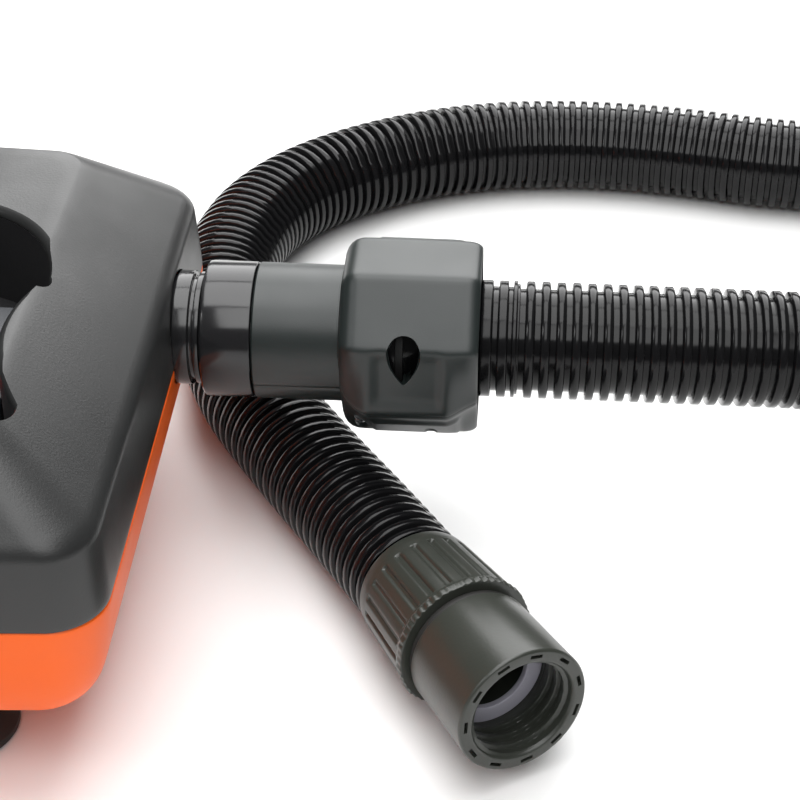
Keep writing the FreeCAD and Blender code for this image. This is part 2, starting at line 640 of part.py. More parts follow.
# Twist-off intake cover with a slotted face; its skirt turns inside the intake ring.
cover_form = turned([
    (-383, 0), (-380.4, 0), (-380.4, 33.6), (-368, 33.6), (-368, 35.6), (-376.4, 35.6), (-376.4, 43.0),
    (-380, 43.0, 3.0, 1), (-383, 40.0)], nose, motor_y, motor_z)
cover_slots = []
for row in range(-4, 5):
    reach = math.sqrt(31.0 ** 2 - (row * 6.6) ** 2) if abs(row * 6.6) < 31.0 else 0.0
    cover_slots.append(block((nose - 390, motor_y - reach, motor_z + row * 6.6 - 1.6),
                             (nose - 379, motor_y + reach, motor_z + row * 6.6 + 1.6)))
keep(cut(cover_form, *cover_slots), "intake_cover")

# ---------------------------------------------------------------- power inlet and control board
inlet_body = joined(
    block((tail_x - 2.4, inlet_y - 17, inlet_z - 13), (tail_x, inlet_y + 17, inlet_z + 13)),
    block((tail_x, inlet_y - 13.5, inlet_z - 10), (tail_x + 19, inlet_y + 13.5, inlet_z + 10)))
inlet_room = block((tail_x - 5, inlet_y - 12, inlet_z - 8), (tail_x + 16, inlet_y + 12, inlet_z + 8))
PIN_SPOTS = [(-7.0, -2.0), (7.0, -2.0), (0.0, 2.0)]


def flat_pins(start, end):
    """The inlet's three flat pins, from and to these distances inside the rear face."""
    return [block((tail_x + start, inlet_y + y - 1, inlet_z + up - 2),
                  (tail_x + end, inlet_y + y + 1, inlet_z + up + 2)) for y, up in PIN_SPOTS]


keep(cut(inlet_body, inlet_room, *flat_pins(10, 30)), "power_inlet")
keep(group(flat_pins(1, 27)), "inlet_pins")

board_low, board_high = (nose - 190, -82.0), (nose - 90, -28.0)
BOARD_Z = 40.0
standoffs = [post(x, y, base_z + 3, BOARD_Z, 3.0)
             for x in (board_low[0] + 5, board_high[0] - 5) for y in (-72, -33)]
keep(group(standoffs), "board_standoffs")
keep(block((*board_low, BOARD_Z), (*board_high, BOARD_Z + 1.6)), "control_board")
top = BOARD_Z + 1.6
keep(group([
    post(nose - 176, -68, top, top + 24, 8.0),
    post(nose - 176, -46, top, top + 16, 6.0),
    block((nose - 160, -76, top), (nose - 136, -54, top + 18)),
    block((nose - 128, -78, top), (nose - 125, -34, top + 22)),
    block((nose - 118, -74, top), (nose - 100, -52, top + 9)),
    block((nose - 118, -44, top), (nose - 98, -36, top + 6))]), "board_components")


# ---------------------------------------------------------------- hose
def rounded_route(points):
    """Straight runs joined by tangent arcs, each as large as its two runs allow, as edges."""
    spots = [Vec(*point) for point in points]
    edges = []
    radii = []
    begin = spots[0]
    for before, here, after in zip(spots, spots[1:], spots[2:]):
        way_in, way_out = here - before, after - here
        shorter = min(way_in.Length, way_out.Length)
        half_turn = way_in.getAngle(way_out) / 2
        radius = 0.45 * shorter / math.tan(half_turn)
        way_in.normalize()
        way_out.normalize()
        first = here - way_in * (0.45 * shorter)
        last = here + way_out * (0.45 * shorter)
        inward = (way_out - way_in).normalize()
        middle = here + inward * (radius / math.cos(half_turn) - radius)
        edges.append(Part.LineSegment(begin, first).toShape())
        edges.append(Part.Arc(first, middle, last).toShape())
        radii.append(radius)
        begin = last
    edges.append(Part.LineSegment(begin, spots[-1]).toShape())
    return edges, radii


HOSE_ROUTE = [
    (251, 45, 80), (308, 45, 80), (372, 49, 77), (442, 36, 60), (512, -2, 36), (590, -44, 20),
    (694, -58, 20), (796, -6, 20), (851, 98, 20), (849, 222, 20), (784, 326, 20), (678, 374, 20),
    (568, 352, 20), (484, 300, 20), (392, 276, 20), (292, 298, 20), (212, 288, 20), (142, 239, 20),
    (125, 169, 20), (143, 100, 20), (173.5, 52, 20), (204.2, 6.5, 21.6), (219.5, -19.2, 23.7)]
route_edges, route_radii = rounded_route(HOSE_ROUTE)
route_wire = Part.Wire(route_edges)


def swept(radius):
    start = route_wire.Edges[0].Vertexes[0].Point
    circle = Part.Wire([Part.Circle(start, Vec(HOSE_ROUTE[1]) - Vec(HOSE_ROUTE[0]), radius).toShape()])
    return route_wire.makePipeShell([circle], True, True)


hose = doc.addObject("Part::Feature", "hose_sweep")
hose.Shape = swept(hose_out.value).cut(swept(hose_in.value))
keep(hose, "hose")
section = math.pi * (hose_out.value ** 2 - hose_in.value ** 2)
print("hose length", round(route_wire.Length, 1), "radii", [round(radius) for radius in route_radii])
print("hose volume", round(hose.Shape.Volume), "section x length", round(section * route_wire.Length))

# ---------------------------------------------------------------- nozzle at the end of the hose
before_end, hose_end = Vec(HOSE_ROUTE[-2]), Vec(HOSE_ROUTE[-1])
last_run = hose_end - before_end
heading = FreeCAD.Rotation(X_AXIS, last_run)
nozzle_at = (hose_end.x, hose_end.y, hose_end.z, heading)
thread, mouth_radius = D["thread_radius"], D["socket_radius"]
keep(turned([
    (0, hose_in), (24, hose_in), (24, 17.9), (36, 17.9), (36, 23.8), (33.4, 23.8), (32.8, 23.2),
    (4, 21.2), (0, 20.6)], *nozzle_at), "nozzle_collar")
keep(tube(36, 38.6, 22.8, 18.2, *nozzle_at), "nozzle_gasket")
keep(turned([
    (26, 14.0), (52, 14.0), (52, 17.9), (54.4, 17.9), (54.4, thread), (73, thread),
    (73, mouth_radius - 0.8, 0.8, -1), (72.2, mouth_radius), (39, mouth_radius - 1.0), (39, 17.1),
    (26, 17.1)], *nozzle_at), "nozzle_socket")
keep(tube(52, 54.4, 17.8, 12.0, *nozzle_at), "nozzle_washer")


# ---------------------------------------------------------------- check and write
doc.recompute()
faults = [item.Name for item in doc.Objects if "Invalid" in item.State or "Error" in item.State]
for item in PARTS:
    if item.Shape.isNull() or not item.Shape.isValid() or not item.Shape.Solids:
        faults.append(item.Label)
if faults:
    raise RuntimeError(f"failed objects: {faults}")
os.makedirs("parts", exist_ok=True)
for item in PARTS:
    item.Shape.exportStep(f"parts/{item.Label}.step")
print(len(PARTS), "parts")
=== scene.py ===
import json
import math

import bmesh
import bpy
import numpy as np
from mathutils import Matrix


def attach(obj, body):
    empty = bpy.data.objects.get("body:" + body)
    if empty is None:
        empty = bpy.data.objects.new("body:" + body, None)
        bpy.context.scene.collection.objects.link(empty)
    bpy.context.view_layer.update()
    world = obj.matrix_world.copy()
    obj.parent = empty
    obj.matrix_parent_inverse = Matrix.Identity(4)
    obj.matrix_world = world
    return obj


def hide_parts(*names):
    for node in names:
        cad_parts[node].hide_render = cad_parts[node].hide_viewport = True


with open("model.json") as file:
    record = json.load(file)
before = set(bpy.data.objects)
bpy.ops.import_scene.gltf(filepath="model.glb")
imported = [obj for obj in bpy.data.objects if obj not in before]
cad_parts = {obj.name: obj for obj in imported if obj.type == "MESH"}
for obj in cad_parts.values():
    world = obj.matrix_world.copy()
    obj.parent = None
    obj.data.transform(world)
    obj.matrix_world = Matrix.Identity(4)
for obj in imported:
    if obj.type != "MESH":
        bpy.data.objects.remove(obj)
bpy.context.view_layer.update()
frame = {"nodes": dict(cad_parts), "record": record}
MM = 0.001

# ---------------------------------------------------------------- camera, floor and light
# A plain white table top in a studio: wide soft boxes above, behind, in front and at the left, and
# a weak even light from all round.
camera = bpy.data.objects.new("camera", bpy.data.cameras.new("camera"))
camera.data.lens = 90
camera.data.sensor_width = 36
camera.data.clip_start = 0.01
camera.location = (0.2489, -0.5226, 0.4657)
camera.rotation_euler = (math.radians(54), 0, math.radians(3.9))
bpy.context.scene.collection.objects.link(camera)
bpy.context.scene.camera = camera


def settle(mesh, angle):
    """Faces outward, smooth shading except where the surface folds more than the angle in degrees."""
    work = bmesh.new()
    work.from_mesh(mesh)
    bmesh.ops.recalc_face_normals(work, faces=work.faces)
    work.to_mesh(mesh)
    work.free()
    mesh.polygons.foreach_set("use_smooth", [True] * len(mesh.polygons))
    mesh.set_sharp_from_angle(angle=math.radians(angle))


def build(name, forms, angle=30.0):
    """One object at the origin from several forms, each a pair (points in mm, faces)."""
    points, faces, start = [], [], 0
    for own_points, own_faces in forms:
        points.append(own_points)
        faces += [[index + start for index in face] for face in own_faces]
        start += len(own_points)
    mesh = bpy.data.meshes.new(name)
    mesh.from_pydata((np.vstack(points) * MM).tolist(), [], faces)
    settle(mesh, angle)
    obj = bpy.data.objects.new(name, mesh)
    bpy.context.scene.collection.objects.link(obj)
    return obj


def finish_of(name, colour, roughness, grain=0.0, grain_scale=1400.0, coat=0.0, metallic=0.0,
              mottle=0.06, mottle_scale=35.0, wear=0.05):
    """A moulded or metal surface: a fine bump of the given depth in metres, and a slow change of
    colour and roughness over the piece, all in object coordinates."""
    material = bpy.data.materials.new(name)
    material.use_nodes = True
    nodes, links = material.node_tree.nodes, material.node_tree.links
    shader = nodes["Principled BSDF"]
    shader.inputs["Metallic"].default_value = metallic
    shader.inputs["Coat Weight"].default_value = coat
    shader.inputs["Coat Roughness"].default_value = 0.12
    place = nodes.new("ShaderNodeTexCoord")
    slow = nodes.new("ShaderNodeTexNoise")
    slow.inputs["Scale"].default_value = mottle_scale
    slow.inputs["Detail"].default_value = 4.0
    links.new(place.outputs["Object"], slow.inputs["Vector"])
    tint = nodes.new("ShaderNodeMix")
    tint.data_type = "RGBA"
    tint.inputs[6].default_value = [channel * (1 - mottle) for channel in colour] + [1.0]
    tint.inputs[7].default_value = [min(1.0, channel * (1 + mottle)) for channel in colour] + [1.0]
    links.new(slow.outputs["Fac"], tint.inputs["Factor"])
    links.new(tint.outputs[2], shader.inputs["Base Color"])
    gloss = nodes.new("ShaderNodeMapRange")
    gloss.inputs["From Min"].default_value = 0.3
    gloss.inputs["From Max"].default_value = 0.7
    gloss.inputs["To Min"].default_value = roughness - wear
    gloss.inputs["To Max"].default_value = roughness + wear
    links.new(slow.outputs["Fac"], gloss.inputs["Value"])
    links.new(gloss.outputs["Result"], shader.inputs["Roughness"])
    if grain:
        fine = nodes.new("ShaderNodeTexNoise")
        fine.inputs["Scale"].default_value = grain_scale
        fine.inputs["Detail"].default_value = 2.0
        bump = nodes.new("ShaderNodeBump")
        bump.inputs["Strength"].default_value = 1.0
        bump.inputs["Distance"].default_value = grain
        links.new(place.outputs["Object"], fine.inputs["Vector"])
        links.new(fine.outputs["Fac"], bump.inputs["Height"])
        links.new(bump.outputs["Normal"], shader.inputs["Normal"])
    return material


FLOOR_REACH = 9000.0
floor_corners = np.array([(-1, -1, 0), (1, -1, 0), (1, 1, 0), (-1, 1, 0)]) * FLOOR_REACH
floor = build("floor", [(floor_corners, [[0, 1, 2, 3]])])
floor.data.materials.append(finish_of("floor_white", (0.90, 0.90, 0.895), 0.6, mottle=0.005))


def frame_of(along):
    """Three unit vectors at right angles: the given one, a level side and their cross product."""
    along = np.array(along, float) / np.linalg.norm(along)
    up = np.array((0.0, 0.0, 1.0)) if abs(along[2]) < 0.9 else np.array((0.0, 1.0, 0.0))
    side = np.cross(up, along)
    side /= np.linalg.norm(side)
    return along, side, np.cross(along, side)


world = bpy.data.worlds.new("world")
world.use_nodes = True
world.node_tree.nodes["Background"].inputs["Color"].default_value = (1.0, 1.0, 1.0, 1.0)
world.node_tree.nodes["Background"].inputs["Strength"].default_value = 0.12
bpy.context.scene.world = world
bpy.context.scene.view_settings.view_transform = "Standard"
for name, place, target, size, power in (
        ("top_light", (0.15, 0.15, 1.35), (0.2, 0.05, 0.05), 1.1, 19.0),
        ("left_light", (-0.7, -0.6, 1.0), (0.1, 0.0, 0.1), 0.4, 3.0),
        ("front_light", (0.30, -0.85, 1.25), (0.2, 0.0, 0.05), 0.9, 10.0),
        ("back_light", (0.25, 1.25, 0.95), (0.2, 0.1, 0.05), 1.3, 23.0)):
    lamp = bpy.data.objects.new(name, bpy.data.lights.new(name, "AREA"))
    lamp.data.shape = "SQUARE"
    lamp.data.size = size
    lamp.data.energy = power
    lamp.location = place
    along, side, up = frame_of(np.array(place) - target)
    lamp.rotation_euler = Matrix(np.stack([side, up, along], 1).tolist()).to_euler()
    bpy.context.scene.collection.objects.link(lamp)

# ---------------------------------------------------------------- hose
# Glossy black corrugated plastic tube, 40 mm outside; flat-topped rings 5.2 mm apart and one
# mould line. It leaves the cuff level, drops to the floor, turns back and ends in the nozzle.


def skin(rings, looped=False):
    """Quads between neighbouring rings P[i, j]; the two ends are joined if looped, else closed flat."""
    count, around = rings.shape[:2]
    index = np.arange(count * around).reshape(count, around)
    if looped:
        index = np.vstack([index, index[:1]])
    here, ahead = index[:-1], index[1:]
    faces = np.stack([here, np.roll(here, -1, 1), np.roll(ahead, -1, 1), ahead], -1).reshape(-1, 4).tolist()
    if not looped:
        faces += [index[0][::-1].tolist(), index[-1].tolist()]
    return rings.reshape(-1, 3), faces


def dress(obj, material, slot, body, *nodes):
    """The piece's material, the body it moves with and the solid parts it stands for."""
    obj.data.materials.clear()
    obj.data.materials.append(material)
    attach(obj, body)
    if nodes:
        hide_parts(*nodes)
    return obj


HOSE_POINTS = np.array([
    (251, 45, 80), (308, 45, 80), (372, 49, 77), (442, 36, 60), (512, -2, 36), (590, -44, 20),
    (694, -58, 20), (796, -6, 20), (851, 98, 20), (849, 222, 20), (784, 326, 20), (678, 374, 20),
    (568, 352, 20), (484, 300, 20), (392, 276, 20), (292, 298, 20), (212, 288, 20), (142, 239, 20),
    (125, 169, 20), (143, 100, 20), (173.5, 52, 20), (204.2, 6.5, 21.6), (219.5, -19.2, 23.7)], float)


def smooth_line(points):
    """The quadratic spline with these control points, each piece (1-t)^2 a + 2t(1-t) b + t^2 c from
    one middle to the next, as points and as the length of the line up to each of them."""
    middles = (points[1:-2] + points[2:-1]) / 2
    starts = np.vstack([points[:1], middles])
    ends = np.vstack([middles, points[-1:]])
    t = np.linspace(0.0, 1.0, 200, endpoint=False)[:, None]
    fine = [(1 - t) ** 2 * a + 2 * t * (1 - t) * b + t * t * c
            for a, b, c in zip(starts, points[1:-1], ends)]
    fine = np.vstack(fine + [points[-1:]])
    return fine, np.concatenate([[0.0], np.cumsum(np.linalg.norm(np.diff(fine, axis=0), axis=1))])


def on_hose(distance):
    """Points on the hose's centre line at these distances from its start, each between two of the
    line's own points in proportion."""
    return np.stack([np.interp(distance, hose_run, hose_fine[:, axis]) for axis in range(3)], 1)


hose_fine, hose_run = smooth_line(HOSE_POINTS)
RING_PITCH, HOSE_BORE = 5.2, 16.8
# One ring of the outside: how far along the pitch, and the radius there.
RING_SHAPE = np.array([(0.0, 17.4), (0.34, 17.4), (0.40, 19.65), (0.46, 20.0), (0.88, 20.0), (0.94, 19.65)])
ring_starts = np.arange(0.0, hose_run[-1] - RING_PITCH, RING_PITCH)
where = (ring_starts[:, None] + RING_SHAPE[:, 0] * RING_PITCH).ravel()
radii = np.tile(RING_SHAPE[:, 1], len(ring_starts))
inside = ring_starts[::-1]
where, radii = np.concatenate([where, inside]), np.concatenate([radii, np.full(len(inside), HOSE_BORE)])
centres = on_hose(where)
heads = on_hose(where + 1.0) - on_hose(where - 1.0)
heads /= np.linalg.norm(heads, axis=1)[:, None]
sides = np.cross((0.0, 0.0, 1.0), heads)
sides /= np.linalg.norm(sides, axis=1)[:, None]
tops = np.cross(heads, sides)
angles = np.linspace(0.0, 2 * math.pi, 36, endpoint=False)
# The mould line: the radius is 3.5 % less within 0.05 rad of 40 degrees.
mould_line = 1.0 - 0.035 * (np.abs((angles - math.radians(40) + math.pi) % (2 * math.pi) - math.pi) < 0.05)
rings = (centres[:, None, :] + (radii[:, None] * np.cos(angles) * mould_line)[..., None] * sides[:, None, :]
         + (radii[:, None] * np.sin(angles) * mould_line)[..., None] * tops[:, None, :])
hose = build("hose_rings", [skin(rings, looped=True)], 50)
hose_black = finish_of("hose_black", (0.006, 0.006, 0.0065), 0.15, grain=1.5e-5, grain_scale=420, wear=0.04)
hose_black.node_tree.nodes["Principled BSDF"].inputs["Specular IOR Level"].default_value = 0.22
dress(hose, hose_black, "hose_black", "housing", "hose")

# ---------------------------------------------------------------- nozzle at the hose's end
# Olive black mouldings: a ribbed collar pressed on the hose, a rubber ring in the gap behind the
# joint, and a socket that turns about the hose's axis, with an internal thread and a grey washer.
nozzle_start = HOSE_POINTS[-1]
nozzle_along = HOSE_POINTS[-1] - HOSE_POINTS[-2]
nozzle_olive = finish_of("nozzle_olive", (0.031, 0.034, 0.028), 0.33, grain=3e-5, grain_scale=900)


def eased(corners, ease, steps=4, closed=True):
    """A polyline whose corners are rounded: each corner c is replaced by the curve
    (1-t)^2 a + 2t(1-t) c + t^2 b between points a and b at its ease, its third value or the default."""
    spots = [np.array(corner[:2], float) for corner in corners]
    result = []
    for number, spot in enumerate(spots):
        if not closed and number in (0, len(spots) - 1):
            result.append(spot)
            continue
        before, after = spots[number - 1], spots[(number + 1) % len(spots)]
        reach = corners[number][2] if len(corners[number]) > 2 else ease
        near = min(reach, 0.46 * np.linalg.norm(before - spot), 0.46 * np.linalg.norm(after - spot))
        if near < 0.02:
            result.append(spot)
            continue
        a = spot + (before - spot) / np.linalg.norm(before - spot) * near
        b = spot + (after - spot) / np.linalg.norm(after - spot) * near
        for t in np.linspace(0.0, 1.0, steps):
            result.append((1 - t) ** 2 * a + 2 * t * (1 - t) * spot + t * t * b)
    return np.array(result)


def turned(profile, origin, along=(1, 0, 0), around=96, ease=0.4, change=None):
    """A ring-shaped body: a closed profile (x, r) turned round an axis,
    P = origin + x along + (r + change(x, r, a)) (cos a side + sin a up)."""
    along, side, up = frame_of(along)
    line = eased(profile, ease)
    angles = np.linspace(0.0, 2 * math.pi, around, endpoint=False)[:, None]
    x, r = np.broadcast_to(line[:, 0], (around, len(line))), np.broadcast_to(line[:, 1], (around, len(line)))
    if change is not None:
        r = r + change(x, r, angles)
    rings = (np.array(origin, float) + x[..., None] * along
             + (r * np.cos(angles))[..., None] * side + (r * np.sin(angles))[..., None] * up)
    return skin(rings, looped=True)


def carved(obj, forms, angle=30.0):
    """obj less each of the forms, as a plain mesh."""
    tools = [build("tool", [form]) for form in forms]
    for tool in tools:
        step = obj.modifiers.new("carve", "BOOLEAN")
        step.operation = "DIFFERENCE"
        step.solver = "EXACT"
        step.object = tool
    bpy.context.view_layer.update()
    mesh = bpy.data.meshes.new_from_object(obj.evaluated_get(bpy.context.evaluated_depsgraph_get()))
    obj.modifiers.clear()
    obj.data = mesh
    for tool in tools:
        bpy.data.objects.remove(tool)
    mesh.polygons.foreach_set("use_smooth", [True] * len(mesh.polygons))
    mesh.set_sharp_from_angle(angle=math.radians(angle))
    return obj


COLLAR_FLUTES, FLUTE_DEPTH = 22, 0.85


def collar_ribs(x, r, a):
    """Shallow flutes between x 6 and 31 on the outside, one wherever cos(flutes a) is high, and a
    front rim left uneven by a sum of sines of the angle."""
    flute = np.clip(np.cos(a * COLLAR_FLUTES) * 2.0 - 0.7, 0.0, 1.0)
    rough = 0.28 * np.sin(a * 17 + 1.3) * np.sin(a * 31) + 0.22 * np.sin(a * 53 + 0.5)
    return (-FLUTE_DEPTH * flute * (r > 20.9) * np.clip((x - 6) * 1.5, 0, 1) * np.clip((31.8 - x) * 2, 0, 1)
            + rough * (r > 23.3) * (x > 33))


collar = build("nozzle_collar_look", [turned(
    [(0, 17.1), (24, 17.1), (24, 17.95), (35.9, 17.95), (35.9, 23.5, 0.5), (34.9, 23.6), (33.4, 23.6, 0.3),
     (32.6, 23.15), (31.8, 23.1), (31.2, 23.05), (24, 22.6), (16, 22.0), (8, 21.5), (6.8, 21.4), (5.8, 21.3),
     (4, 21.2), (0, 20.6, 1.0)],
    nozzle_start, nozzle_along, around=264, change=collar_ribs)], 40)
dress(collar, nozzle_olive, "nozzle_olive", "housing", "nozzle_collar")

gap_ring = build("nozzle_gap_look", [turned(
    [(36.02, 18.3), (38.58, 18.3), (38.58, 20.4), (36.02, 20.4)], nozzle_start, nozzle_along)])
rubber = finish_of("rubber_black", (0.018, 0.017, 0.016), 0.62, grain=3e-5, grain_scale=600, mottle=0.12)
dress(gap_ring, rubber, "trim_black", "housing", "nozzle_gasket")

THREAD_PITCH, THREAD_HEIGHT, THREAD_BORE = 4.6, 1.3, 17.5


def thread(x, r, a):
    """A rounded thread on the bore: the wall rises inward by the thread's height once a pitch, where
    cos(2 pi x / pitch - a) is high, and runs out at both ends."""
    turn = np.cos((x / THREAD_PITCH - a / (2 * math.pi)) * 2 * math.pi)
    reach = np.clip((x - 55.5) / 2, 0, 1) * np.clip((72.0 - x) / 1.0, 0, 1)
    return -THREAD_HEIGHT * np.clip(turn * 1.4 + 0.2, 0.0, 1.0) * reach * (r < 17.7)


bore_stations = [(x, THREAD_BORE) for x in np.arange(54.6, 72.2, 0.6)]
socket = build("nozzle_socket_look", [turned(
    [(26, 14.1), (52, 14.1), (52, 17.9), (54.3, 17.9)] + bore_stations
    + [(73, 18.1, 0.5), (73, 21.8, 0.5), (72.2, 22.38, 0.6), (57, 21.9), (39.02, 21.4, 0.5), (39.02, 17.0),
       (26, 17.0)],
    nozzle_start, nozzle_along, around=144, change=thread)], 35)
n_along, n_side, n_up = frame_of(nozzle_along)
# Short slots sunk in the end face, in a circle.
SLOT_COUNT, SLOT_CIRCLE = 11, 20.1
SLOT_WIDTH, SLOT_LENGTH, SLOT_DEPTH = 1.2, 4.2, 2.2
slots = []
for turn in range(SLOT_COUNT):
    a = 2 * math.pi * turn / SLOT_COUNT + 0.2
    out = math.cos(a) * n_side + math.sin(a) * n_up
    across = np.cross(n_along, out)
    corners = [nozzle_start + n_along * 73.3 + out * (SLOT_CIRCLE + outward * SLOT_WIDTH / 2)
               + across * sideways * SLOT_LENGTH / 2
               for outward, sideways in ((-1, -1), (1, -1), (1, 1), (-1, 1))]
    slots.append(skin(np.array([[corner - n_along * SLOT_DEPTH for corner in corners], corners])))
carved(socket, slots, 35)
dress(socket, nozzle_olive, "nozzle_olive", "nozzle_end", "nozzle_socket")

washer = build("nozzle_washer_look", [turned(
    [(52.02, 12.1), (54.3, 12.1, 0.5), (54.3, 17.7), (52.02, 17.7)], nozzle_start, nozzle_along)])
dress(washer, finish_of("washer_grey", (0.55, 0.54, 0.62), 0.5), "washer_grey", "nozzle_end", "nozzle_washer")

# ---------------------------------------------------------------- housing shells
# Two thin mouldings, orange below and dark grey above, that meet in a level joint; the lower one
# curves in to its base, the upper one has sloped shoulders and a flat roof.


def spun(profile, origin, along=(0, 0, 1), around=48, ease=0.4):
    """A solid of revolution: an open profile (x, r) whose two ends lie close to the axis,
    P = origin + x along + r (cos a side + sin a up)."""
    along, side, up = frame_of(along)
    line = eased(profile, ease, closed=False)
    line[:, 1] = np.maximum(line[:, 1], 0.05)
    angles = np.linspace(0.0, 2 * math.pi, around, endpoint=False)
    circle = np.cos(angles)[:, None] * side + np.sin(angles)[:, None] * up
    rings = np.array(origin, float) + line[:, 0][:, None, None] * along + line[:, 1][:, None, None] * circle
    return skin(rings)


def brick(low, high):
    """A box from its lowest corner to its highest: two squares, one over the other."""
    low, high = np.array(low, float), np.array(high, float)
    square = np.array([(0, 0), (1, 0), (1, 1), (0, 1)], float)
    rings = np.array([[low + (high - low) * (x, y, z) for x, y in square] for z in (0, 1)])
    return skin(rings)


HALF_WIDTH, NOSE, BACK = 107.5, 132.0, -238.0
BOW_RADIUS, BACK_CORNER_MORE = 2500.0, 12.0


def housing_ring(z, side, front, back, corner):
    """The outline at a height, drawn in by side, front and back from the widest one: arcs for the
    four corners, rounder at the back, and for the two long sides, which bow out a little."""
    half, ahead, behind = HALF_WIDTH - side, NOSE - front, BACK + back
    near, far = corner, corner + BACK_CORNER_MORE

    def bowed(x0, x1):
        """A long side: how far the bow's circle stands out over its chord, at x from x0 to x1."""
        x = np.linspace(x0, x1, 40)
        middle, reach = (x0 + x1) / 2, abs(x1 - x0) / 2
        return x, (np.sqrt(BOW_RADIUS ** 2 - (x - middle) ** 2)
                   - math.sqrt(BOW_RADIUS ** 2 - reach ** 2))

    def bend(cx, cy, radius, first):
        """A quarter circle from the first angle in degrees, without its ends."""
        a = np.radians(np.linspace(first, first + 90, 14)[1:-1])
        return list(zip(cx + radius * np.cos(a), cy + radius * np.sin(a)))

    x, out = bowed(behind + far, ahead - near)
    line = list(zip(x, -half - out)) + bend(ahead - near, near - half, near, -90)
    line += [(ahead, y) for y in np.linspace(near - half, half - near, 16)]
    line += bend(ahead - near, half - near, near, 0)
    x, out = bowed(ahead - near, behind + far)
    line += list(zip(x, half + out)) + bend(behind + far, half - far, far, 90)
    line += [(behind, y) for y in np.linspace(half - far, far - half, 16)]
    line += bend(behind + far, far - half, far, 180)
    return np.array([(x, y, z) for x, y in line])


def stack(levels, steps=7):
    """Rings through the levels, each a height, the three distances drawn in, a corner radius and how
    far along to its neighbours, a and b, it is rounded by (1-t)^2 a + 2t(1-t) level + t^2 b."""
    rings = [housing_ring(*level[:5]) for level in levels]
    result = [rings[0]]
    for number in range(1, len(levels) - 1):
        ease = levels[number][5]
        before, here, after = rings[number - 1], rings[number], rings[number + 1]
        if not ease:
            result.append(here)
            continue
        a, b = here + (before - here) * ease, here + (after - here) * ease
        result += [(1 - t) ** 2 * a + 2 * t * (1 - t) * here + t * t * b for t in np.linspace(0, 1, steps)]
    return np.array(result + [rings[-1]])


bottom = build("bottom_look", [skin(stack([
    (28.6, 44, 45, 28, 10, 0), (28.6, 31.6, 32.6, 15.6, 11, 0.3), (35, 12.3, 11.3, 7.1, 12, 0.3),
    (47, 4.4, 3.6, 4.6, 15, 0.3), (75, 2.6, -0.4, 2.6, 16, 0), (75, 0.8, -2.2, 0.8, 17.4, 0),
    (74.2, 0.02, -2.98, 0.02, 18, 0.4), (47, 1.8, 1.0, 2, 17, 0.45), (33, 10, 9, 5, 14, 0.45),
    (26, 30, 31, 14, 12, 0.4), (26, 42, 43, 26, 10, 0), (26, 52, 53, 36, 8, 0)]))], 25)

OUTLET = (NOSE, 45, 80)
outlet_bore = spun([(-18, 0.1), (-18, 19.9), (6, 19.9), (6, 0.1)], OUTLET, (1, 0, 0), 96, 0)
intake_bore = spun([(-8, 0.1), (-8, 41.2), (18, 41.2), (18, 0.1)], (-238, 20, 77), (1, 0, 0), 96, 0)
inlet_hole = brick((-250, -83.75, 49.75), (-222, -56.25, 70.25))
HOUSING_SCREWS = [(86, -86), (86, 86), (-82, -88), (-82, 88), (-204, -80), (-204, 80)]
head_wells = [spun([(-14, 0.1), (-14, 4.4), (19, 4.4), (19, 0.1)], (x, y, 26), around=32, ease=0)
              for x, y in HOUSING_SCREWS]
carved(bottom, [outlet_bore, intake_bore, inlet_hole] + head_wells, 25)
orange = finish_of("shell_orange", (0.96, 0.135, 0.008), 0.45, grain=1.5e-5, grain_scale=700, mottle=0.02)
orange.node_tree.nodes["Principled BSDF"].inputs["Specular IOR Level"].default_value = 0.3
dress(bottom, orange, "shell_orange", "housing", "bottom_shell")

top = build("top_look", [skin(stack([
    (125.4, 44, 50, 26, 5, 0), (125.4, 28, 34, 10, 10, 0.15), (100.7, 5.1, 1.2, 3.6, 14, 0.1),
    (75.05, 2.6, -0.4, 2.6, 16, 0), (75.05, 0.8, -2.2, 0.8, 17.4, 0), (75.8, 0.02, -2.98, 0.02, 18, 0.4),
    (102, 2.5, -1.4, 1.0, 17, 0.12), (128, 27, 33, 9, 12, 0.12), (128, 33, 39, 15, 9, 0),
    (128, 42, 48, 24, 6, 0)]))], 25)

WELL = [(-40, -74), (88, -76, 13.0, 1), (105, -62, 56.0, -1), (99, -4, 5.0, 1), (101.5, 3, 44.0, 1),
        (70, 42, 60.0, 1), (34, 58), (-40, 60, 14.0, 1), (-54, 46), (-54, -60, 14.0, 1)]


def arc_outline(corners, steps=16):
    """A closed outline; a corner with a radius and a side starts an arc of that radius, whose centre
    is on the left (1) or the right (-1) of the way round."""
    line = []
    for number, corner in enumerate(corners):
        start, end = np.array(corner[:2], float), np.array(corners[(number + 1) % len(corners)][:2], float)
        chord = end - start
        if len(corner) == 2:
            line += [start + chord * t for t in np.linspace(0, 1, 12, endpoint=False)]
            continue
        radius, turn = corner[2:]
        length = np.linalg.norm(chord)
        left = np.array((-chord[1], chord[0])) / length
        centre = (start + end) / 2 + turn * left * math.sqrt(radius ** 2 - length ** 2 / 4)
        first = math.atan2(*(start - centre)[::-1])
        last = math.atan2(*(end - centre)[::-1])
        sweep = (last - first) % (2 * math.pi) if turn > 0 else -((first - last) % (2 * math.pi))
        line += [centre + radius * np.array((math.cos(first + sweep * t), math.sin(first + sweep * t)))
                 for t in np.linspace(0, 1, steps, endpoint=False)]
    return np.array(line)


